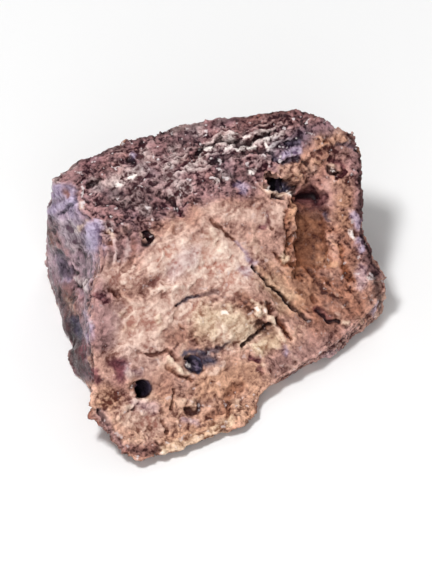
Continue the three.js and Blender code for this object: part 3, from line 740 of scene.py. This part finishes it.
def work_forms(tissue, sizes):
    """Soft unevenness, lobules with their thin walls, folds, pits and cracks."""
    normals = tissue.normals()
    fields = tissue.fields
    points = tissue.points
    tissue.flat = tissue.flat + 0.25 * tissue.wander(0.9, seed=61)
    height = sizes.lump_height * fractal(points, 3.2, seed=71) * (1 - fields["under"])
    curled = points + 0.8 * tissue.wander_in_space(2.2, seed=83)
    toward_wall, own = cells(curled, sizes.lobule_size, seed=7)
    walls = smooth_step(0.86, 0.99, toward_wall) * smooth_step(-0.3, 0.5, fractal(points, 3.0, seed=91))
    height += (sizes.lobule_height + sizes.hidden_height * fields["hidden"]) * (walls + own - 0.5)
    height += 2 * sizes.lump_height * fields["hidden"] * fractal(points, 6.5, seed=73, octaves=2)
    away, own = cells(points + 0.3 * tissue.wander_in_space(0.9, seed=87), 3.1, seed=9)
    bronchioles = (1 - smooth_step(0.16, 0.34, away)) * (own < 0.3)
    bronchioles *= np.maximum(fields["hidden"], 0.3 * fields["crown"])
    height -= 0.9 * bronchioles
    fields["bronchioles"] = bronchioles
    broken = 0.25 + 0.75 * smooth_step(-0.5, 0.4, fractal(points, 1.2, seed=37))
    fields["broken"] = broken
    for name, _, rise, width, *line in MARKS:
        if rise:
            height += rise * mark_share(tissue, line, width) * (broken if name in BROKEN_TISSUES else 1)
    tissue.raise_by(height * (1 - 0.8 * fields["mouths"]), normals)
    fields["walls"] = walls * (1 - fields["crown"]) * (1 - fields["skin"])


# Directions across the faces, in degrees: of the crown's streaks, and of the strands on the left and on
# the right part of the slope
STREAK_TURN = 19
STRAND_TURNS = (42, -45)

# Direction from above in which the crust's crumbs are longer
GRAIN_TURN = math.radians(17)


def streaks(tissue):
    """Thin long crests that run along the crown, from 0 between them to 1 on them."""
    places = tissue.flat + 0.25 * tissue.wander(1.6, seed=57)
    return smooth_step(-0.15, 0.45, combed(places, STREAK_TURN, 0.17, 0.5, seed=29))


def strands(tissue):
    """Fine strands of the slope, from 0 between them to 1 on their crests."""
    places = tissue.flat + 0.5 * tissue.wander(2.5, seed=53)
    left, right = (combed(places, turn, 0.22, 0.8, seed=19 + turn) for turn in STRAND_TURNS)
    mixed = left + smooth_step(10, 15, tissue.flat[:, 0]) * (right - left)
    return np.clip(0.5 + 1.3 * mixed, 0, 1) * tissue.fields["seen"]


def work_grain(tissue, sizes):
    """The crust: porous crumbs on the cut faces, streaks on the crown, wrinkles on the skin side."""
    normals = tissue.normals()
    fields = tissue.fields
    points = tissue.points + 0.3 * tissue.wander_in_space(0.9, seed=81)
    c, s = math.cos(GRAIN_TURN), math.sin(GRAIN_TURN)
    x, y, z = points.T
    streaked = np.stack((0.5 * (x * c + y * s), y * c - x * s, z), axis=1)
    crown, skin, top = fields["crown"], fields["skin"], fields["top"]
    pipe = mark_share(tissue, HALF_PIPE, 1.5, 0.1)
    uneven = 0.7 + 0.6 * smooth_step(-0.5, 0.5, fractal(points, 3.5, seed=27))
    crumbly = 0.32 + 0.68 * np.maximum(np.maximum(crown, 0.7 * (1 - top)), 0.45 * fields["low"])
    crumbly += 0.35 * mark_share(tissue, KNOBBLY_CORNER, 2.4)
    crumbly *= uneven * (1 - 0.85 * skin) * (1 - 0.85 * pipe) * (1 - 0.5 * fields["under"])
    crumbly *= 1 - 0.75 * fields["mouths"]
    fields["strands"] = strands(tissue)
    crests = ridges(streaked, 1.7 * sizes.grain_size, seed=45)
    clods = fractal(points, 1.2 * sizes.grain_size, seed=13, octaves=4)
    open_share = 0.2 + 0.3 * crown
    pores = sponge(streaked, sizes.pore_size, open_share, seed=3)
    fine = sponge(points, 0.5 * sizes.pore_size, open_share, seed=15)
    height = crumbly * sizes.grain_height * (1.1 * crests + 0.4 * clods)
    height += crumbly * sizes.pore_depth * (0.5 * pores + 0.3 * fine)
    folds = 1 - 2 * np.abs(fractal(points * (1.0, 1.0, 0.7), 3.0, seed=33, octaves=2))
    dimples = fractal(points, 1.3, seed=35, octaves=2)
    height += sizes.wrinkle_height * skin * (folds + 0.7 * dimples)
    stranded = (1 - crown) * (1 - skin) * (1 - pipe) * (1 - fields["mouths"])
    height += sizes.strand_height * fields["strands"] * stranded
    fields["stranded"] = stranded
    streaked_crest = mark_share(tissue, STREAKED_CREST, 1.9)
    fields["streaks"] = streaks(tissue) * streaked_crest
    fields["streaked"] = streaked_crest
    height += sizes.streak_height * fields["streaks"]
    height -= tissue.blurred(height, 30)
    tissue.raise_by(height, normals)
    stand = ((tissue.points - tissue.blurred(tissue.points, 8)) * normals).sum(axis=1)
    tissue.raise_by(-0.8 * np.maximum(stand - sizes.spike_height, 0), normals)
    fields["crumbly"] = np.clip(crumbly, 0, 1)


# Painted shade and light from the relief: rounds of blurring that the relief is held against, how much
# each darkens the colour in hollows and lightens it on crests, and how much more on crumbs
DEPTHS = ((4, 0.22, 0.1), (30, 0.25, 0.2), (160, 0.08, 0))


def read_depths(tissue):
    """The light and dark of the relief, painted into the colour: shade in deep and close hollows, light on
    crests, and painted highlights at the glints.
    """
    normals = tissue.normals()
    fields = tissue.fields
    crumbly = fields["crumbly"]
    tone = -0.15 * fields["ragged"] + 0.55 * (fields["strands"] - 0.5) * fields["stranded"]
    # Painted light on the crests of the crown's streaks, and shade between them
    tone += 1.6 * (fields["streaks"] - 0.45 * fields["streaked"])
    known, points = 0, tissue.points
    for rounds, gain, crumbly_gain in DEPTHS:
        points = tissue.blurred(points, rounds - known)
        known = rounds
        stand = ((tissue.points - points) * normals).sum(axis=1)
        tone += (gain + crumbly_gain * crumbly) * np.clip(stand / stand.std(), -2, 2)
    places = tissue.places()
    # Deep hollows, and the walls of the listed hollows, which are painted dark as shade
    inside = around(places, HOLLOWS, 1.3, 1.8) * smooth_step(0.1, 0.35, -stand) * fields["top_part"]
    fields["deep"] = np.maximum(smooth_step(0.55, 1.1, -stand), inside)
    fields["tone"] = 0.5 + 0.4 * np.tanh(tone)
    # Painted highlights: at the glints the mix is pushed to the crest colour
    fields["glints"] = np.zeros(tissue.count)
    for width, *line in GLINTS:
        away = distance_to_line(places, line) / width * (1 + 0.5 * fields["ragged"])
        glint = (1 - smooth_step(0.6, 1.3, away)) * fields["top_part"]
        fields["glints"] = np.maximum(fields["glints"], glint)
    fields["tone"] += 1.5 * fields["glints"]


# Layers of tissue, from the bottom up: on the flesh, patches on the crown and the skin side, then over
# them, as (tissue, how strongly it shows, the field or the seed that says where)
GROUND = (("crown", 1, "crown"), ("brown", 0.8, "brown"), ("skin", 1, "skin"))
PATCHES = (("brown", 0.2, 101), ("blanch", 0.4, 103), ("wine", 0.25, 107), ("slate", 0.3, 109))
# The pale crust on the crown's streaks is partly painted highlight on their crests
TRIM = (("blanch", 0.6, "streaks"), ("cream", 0.35, "walls"), ("tan", 0.4, "low"))


def paint(tissue, colours):
    """Lays the tissues over one another, as a dark and a light colour at each point."""
    ends = {}
    for name, *_ in TISSUES:
        ends[name] = np.array((*getattr(colours, name + "_dark"), *getattr(colours, name + "_light")))
    fields = tissue.fields
    layers = [(name, share * fields[field]) for name, share, field in GROUND]
    for name, share, seed in PATCHES:
        patch = smooth_step(0.05, 0.6, fractal(tissue.points, 3.0, seed))
        layers.append((name, share * patch * np.maximum(fields["crown"], 0.5 * fields["skin"])))
    layers += [(name, share * fields[field]) for name, share, field in TRIM]
    for name, share, _, width, *line in MARKS:
        torn = fields["broken"] if name in BROKEN_TISSUES and width < 0.5 else 1
        layers.append((name, share * mark_share(tissue, line, width) * torn))
    above = fields["top_part"]
    # Painted shade: the pore colour laid into deep hollows and into the bronchioles' pits
    layers.append(("pore", np.maximum(fields["deep"], 0.8 * fields["bronchioles"])))
    places = tissue.places()
    # Painted shade inside the airway mouths: the pore colour over the whole mouth, then a bluish slate tint
    # over its middle
    for place, radius in AIRWAYS:
        away = distance_to_place(places, place)
        layers.append(("pore", (1 - smooth_step(radius - 0.12, radius + 0.08, away)) * above))
        layers.append(("slate", 0.5 * (1 - smooth_step(radius - 0.3, radius - 0.1, away)) * above))
    # Painted bluish shade and sheen inside the mouths
    for name, share, width, *line in MOUTH_MARKS:
        near = 1 - smooth_step(0.6, 1.2, distance_to_line(places, line) / width)
        layers.append((name, share * near * above))
    # Painted highlights: the pale crust colour laid over the glints
    layers.append(("blanch", fields["glints"]))
    coat = np.tile(ends["flesh"], (tissue.count, 1))
    for name, share in layers:
        coat += share[:, None] * (ends[name] - coat)
    fields["dark"], fields["light"] = coat[:, :3], coat[:, 3:]


# What the material reads from the finished mesh
KEPT_FIELDS = ("dark", "light", "tone", "crumbly", "skin")


def finished_mesh(tissue, face_count):
    """The worked mesh with its faces thinned where it is smooth, and the fields stored on it, in metres."""
    tissue.settle()
    rough = linked("treat_rough", tissue.mesh)
    thin = rough.modifiers.new("thin", "DECIMATE")
    thin.ratio = min(1.0, face_count / (2 * len(tissue.mesh.polygons)))
    mesh = taken_mesh(rough)
    tree = KDTree(tissue.count)
    for number, point in enumerate(tissue.points.tolist()):
        tree.insert(point, number)
    tree.balance()
    nearest = np.array([tree.find(vertex.co)[1] for vertex in mesh.vertices])
    for name in KEPT_FIELDS:
        values = tissue.fields[name][nearest]
        if values.ndim > 1:
            layer = mesh.attributes.new(name, "FLOAT_COLOR", "POINT")
            values = np.concatenate((values, np.ones((len(values), 1))), axis=1)
            layer.data.foreach_set("color", values.astype(np.float32).ravel())
        else:
            layer = mesh.attributes.new(name, "FLOAT", "POINT")
            layer.data.foreach_set("value", values.astype(np.float32))
    points = np.zeros(len(mesh.vertices) * 3, np.float32)
    mesh.vertices.foreach_get("co", points)
    points = points.reshape(-1, 3)
    points[:, 2] = np.maximum(points[:, 2], 0)
    mesh.vertices.foreach_set("co", (points * MM).ravel())
    mesh.polygons.foreach_set("use_smooth", np.ones(len(mesh.polygons), bool))
    mesh.update()
    return mesh


class TREAT_OT_body(Operator):
    """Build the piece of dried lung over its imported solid"""

    bl_idname = "treat.body"
    bl_label = "Dried Lung"

    def execute(self, context):
        sizes = context.scene.treat_sizes
        tissue = Tissue(fine_copy(sizes.fineness))
        round_mouths(tissue)
        mark_regions(tissue)
        work_forms(tissue, sizes)
        work_grain(tissue, sizes)
        read_depths(tissue)
        paint(tissue, context.scene.treat_colours)
        piece = linked(PIECE, finished_mesh(tissue, sizes.face_count))
        piece.data.materials.append(tissue_material())
        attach(piece, "root")
        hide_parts(NODE)
        return {"FINISHED"}


# Sockets of the node that mixes two colours
MIX_SHARE, MIX_FIRST, MIX_SECOND, MIX_RESULT = 0, 6, 7, 2


class NodeBoard:
    """Adds nodes to a new material and links them, in few words."""

    def __init__(self, name):
        self.material = bpy.data.materials.new(name)
        self.material.use_nodes = True
        self.tree = self.material.node_tree
        self.tree.nodes.clear()

    def add(self, kind, inputs=(), **settings):
        """A new node with its settings, and with its inputs linked or set."""
        node = self.tree.nodes.new(kind)
        for name, value in settings.items():
            setattr(node, name, value)
        for key, value in dict(inputs).items():
            if isinstance(value, bpy.types.NodeSocket):
                self.tree.links.new(value, node.inputs[key])
            else:
                node.inputs[key].default_value = value
        return node

    def field(self, name, output="Fac"):
        return self.add("ShaderNodeAttribute", attribute_name=name).outputs[output]

    def math(self, operation, *values, clamp=False):
        return self.add("ShaderNodeMath", enumerate(values), operation=operation, use_clamp=clamp).outputs[0]

    def vector_math(self, operation, *values):
        return self.add("ShaderNodeVectorMath", enumerate(values), operation=operation).outputs[0]

    def noise(self, where, size_mm, detail=3.0, roughness=0.6, output="Fac"):
        inputs = {"Vector": where, "Scale": 1 / (MM * size_mm), "Detail": detail, "Roughness": roughness}
        return self.add("ShaderNodeTexNoise", inputs).outputs[output]

    def spots(self, where, size_mm, detail, roughness, contrast, shift):
        """Noise with its contrast raised, held between 0 and 1."""
        found = self.noise(where, size_mm, detail, roughness)
        return self.math("MULTIPLY_ADD", found, contrast, shift, clamp=True)

    def curled(self, where, size_mm, reach_mm):
        """Places shifted about by noise, which curls the patterns that are read there."""
        shift = self.noise(where, size_mm, 1.0, 0.5, "Color")
        centred = self.vector_math("ADD", shift, (-0.5, -0.5, -0.5))
        scaled = self.vector_math("MULTIPLY", centred, (4 * reach_mm * MM,) * 3)
        return self.vector_math("ADD", where, scaled)

    def mix(self, share, first, second, blend="MIX"):
        inputs = {MIX_SHARE: share, MIX_FIRST: first, MIX_SECOND: second}
        return self.add("ShaderNodeMix", inputs, data_type="RGBA", blend_type=blend).outputs[MIX_RESULT]

    def finish(self, inputs):
        """The material, with its shader's inputs linked or set."""
        shader = self.add("ShaderNodeBsdfPrincipled", inputs)
        self.add("ShaderNodeOutputMaterial", {"Surface": shader.outputs["BSDF"]})
        return self.material


# Fine mottling, as (on curled places, size in mm, strength, more on crumbs, more on skin)
MOTTLING = (
    (False, 0.22, 0.4, 0.4, -0.25),
    (False, 0.45, 0.6, 1.4, -0.3),
    (True, 0.8, 0.65, 1.7, 0.8),
    (True, 2.2, 1.2, 0.3, 1.2),
)

# Fine spots, as (size in mm, detail, roughness of the noise, contrast, shift)
# Pale flecks: specks of white tissue, also standing for small painted glints
FLECKS = (0.7, 2.0, 0.5, 16.0, -10.3)
# Painted pores: dark spots that stand for the shade inside tiny pits
HOLES = (0.6, 2.0, 0.5, -10.0, 3.8)
# Painted shade: spots where the tissue's hollow colour shows
SHADE_SPOTS = (0.7, 1.0, 0.4, -9.0, 3.3)
DULL_SPOTS = (0.5, 2.0, 0.5, -1.4, 1.2)

FLECK_TINT = (0.8, 0.7, 0.7, 1)
HOLE_TINT = (0.45, 0.35, 0.4, 1)
CRUMB_SPOTS = 0.8  # how strongly flecks and holes show on crumbs
CRUMB_SHADE = 0.1  # how much darker crumbs are
SHADE_SPOT_SHARE = 0.45
CURL_SIZE, CURL_REACH = 0.9, 0.35  # in mm
SKIN_SMOOTHNESS = 0.3
SPECULAR = 0.18
BUMP_SIZE, BUMP_HEIGHT, BUMP_STRENGTH = 0.22, 0.0001, 0.8  # size in mm, height in metres


def tissue_material():
    """The tissues' two colours, mixed by the relief's painted shade and light and by fine noise, with pale
    flecks that are partly painted glints, and holes and spots of painted shade.
    """
    board = NodeBoard(MATERIAL)
    where = board.add("ShaderNodeTexCoord").outputs["Object"]
    curly = board.curled(where, CURL_SIZE, CURL_REACH)
    crumbly, skin, tone = (board.field(name) for name in ("crumbly", "skin", "tone"))
    tone = board.math("MULTIPLY_ADD", crumbly, -CRUMB_SHADE, tone)
    for curls, size_mm, gain, crumbly_gain, skin_gain in MOTTLING:
        centred = board.math("ADD", board.noise(curly if curls else where, size_mm), -0.5)
        strength = board.math("MULTIPLY_ADD", crumbly, crumbly_gain, gain)
        strength = board.math("MULTIPLY_ADD", skin, skin_gain, strength)
        tone = board.math("MULTIPLY_ADD", centred, strength, tone)
    dark, light = board.field("dark", "Color"), board.field("light", "Color")
    surface = board.mix(board.math("ADD", tone, 0.0, clamp=True), dark, light)
    on_crumbs = board.math("MULTIPLY", crumbly, CRUMB_SPOTS)
    # Pale flecks on the crumbs, partly painted glints
    fleck = board.math("MULTIPLY", board.spots(where, *FLECKS), on_crumbs)
    surface = board.mix(fleck, surface, FLECK_TINT)
    # Painted pores on the crumbs, dark as their shade
    hole = board.math("MULTIPLY", board.spots(curly, *HOLES), on_crumbs)
    surface = board.mix(hole, surface, board.mix(1.0, dark, HOLE_TINT, "MULTIPLY"))
    # Painted shade: spots mixed towards the hollow colour
    spot = board.math("MULTIPLY", board.spots(curly, *SHADE_SPOTS), SHADE_SPOT_SHARE)
    surface = board.mix(spot, surface, dark)
    dull = board.spots(where, *DULL_SPOTS)
    rough = board.math("MULTIPLY_ADD", skin, -SKIN_SMOOTHNESS, dull, clamp=True)
    bumps = {"Distance": BUMP_HEIGHT, "Strength": BUMP_STRENGTH}
    bumps["Height"] = board.noise(where, BUMP_SIZE, 3.0, 0.7)
    normal = board.add("ShaderNodeBump", bumps).outputs["Normal"]
    return board.finish(
        {"Base Color": surface, "Roughness": rough, "Normal": normal, "Specular IOR Level": SPECULAR}
    )


# The stage, in metres
FLOOR_SIZE = 1.2
FLOOR_DROP = 0.00002  # below the treat, so that the two never lie in one plane
FLOOR_TINT = (0.9, 0.9, 0.9, 1)
FLOOR_ROUGHNESS = 0.6
CAMERA_DISTANCE = 1.5
NEAR_CLIP = 0.01
LENS_MM = 920.0
WORLD_LIGHT = 0.26

# Soft lamps as (name, place, width, power in watts)
LAMPS = (
    ("key_lamp", (-0.10, -0.06, 0.37), 0.07, 1.1),
    ("front_lamp", (0.0, -0.30, 0.22), 0.25, 0.35),
    ("back_lamp", (0.10, 0.26, 0.24), 0.20, 0.15),
)


def set_up(data, place, target):
    """Puts a lamp or the camera at a place on the stage, turned to a target."""
    thing = linked(data.name, data)
    thing.location = place
    thing.rotation_euler = (target - thing.location).to_track_quat("-Z", "Y").to_euler()
    return thing


class TREAT_OT_stage(Operator):
    """Build the pale floor, the soft studio lamps and the camera"""

    bl_idname = "treat.stage"
    bl_label = "Stage"

    def execute(self, context):
        scene = context.scene
        half = FLOOR_SIZE / 2
        corners = [(-half, -half, 0), (half, -half, 0), (half, half, 0), (-half, half, 0)]
        mesh = bpy.data.meshes.new("floor")
        mesh.from_pydata(corners, [], [(0, 1, 2, 3)])
        coat = NodeBoard("pale_floor").finish({"Base Color": FLOOR_TINT, "Roughness": FLOOR_ROUGHNESS})
        mesh.materials.append(coat)
        floor = linked("floor", mesh)
        floor.location.z = -FLOOR_DROP
        centre = MIDDLE * MM
        for name, place, width, power in LAMPS:
            lamp = bpy.data.lights.new(name, "AREA")
            lamp.size = width
            lamp.energy = power
            set_up(lamp, place, centre)
        world = bpy.data.worlds.new("studio")
        world.use_nodes = True
        background = world.node_tree.nodes["Background"]
        background.inputs["Color"].default_value = (1, 1, 1, 1)
        background.inputs["Strength"].default_value = WORLD_LIGHT
        scene.world = world
        camera = bpy.data.cameras.new("camera")
        camera.lens = LENS_MM
        camera.clip_start = NEAR_CLIP
        scene.camera = set_up(camera, centre + Vector(SIGHT) * CAMERA_DISTANCE, centre)
        scene.view_settings.view_transform = "Standard"
        return {"FINISHED"}


class TREAT_PT_panel(Panel):
    """Lists the piece, its stage and what can be changed"""

    bl_idname = "TREAT_PT_panel"
    bl_label = "Dried Lung Treat"
    bl_space_type = "VIEW_3D"
    bl_region_type = "UI"
    bl_category = "Treat"

    def draw(self, context):
        for group in (context.scene.treat_sizes, context.scene.treat_colours):
            box = self.layout.box()
            for name in group.bl_rna.properties.keys():
                if name not in ("rna_type", "name"):
                    box.prop(group, name)
        self.layout.operator(TREAT_OT_body.bl_idname)
        self.layout.operator(TREAT_OT_stage.bl_idname)


CLASSES = (TreatSizes, TreatColours, TREAT_OT_body, TREAT_OT_stage, TREAT_PT_panel)


def register():
    for item in CLASSES:
        bpy.utils.register_class(item)
    bpy.types.Scene.treat_sizes = PointerProperty(type=TreatSizes)
    bpy.types.Scene.treat_colours = PointerProperty(type=TreatColours)


def unregister():
    del bpy.types.Scene.treat_colours
    del bpy.types.Scene.treat_sizes
    for item in reversed(CLASSES):
        bpy.utils.unregister_class(item)


def main():
    register()
    bpy.ops.treat.stage()
    bpy.ops.treat.body()


if __name__ == "__main__":
    main()
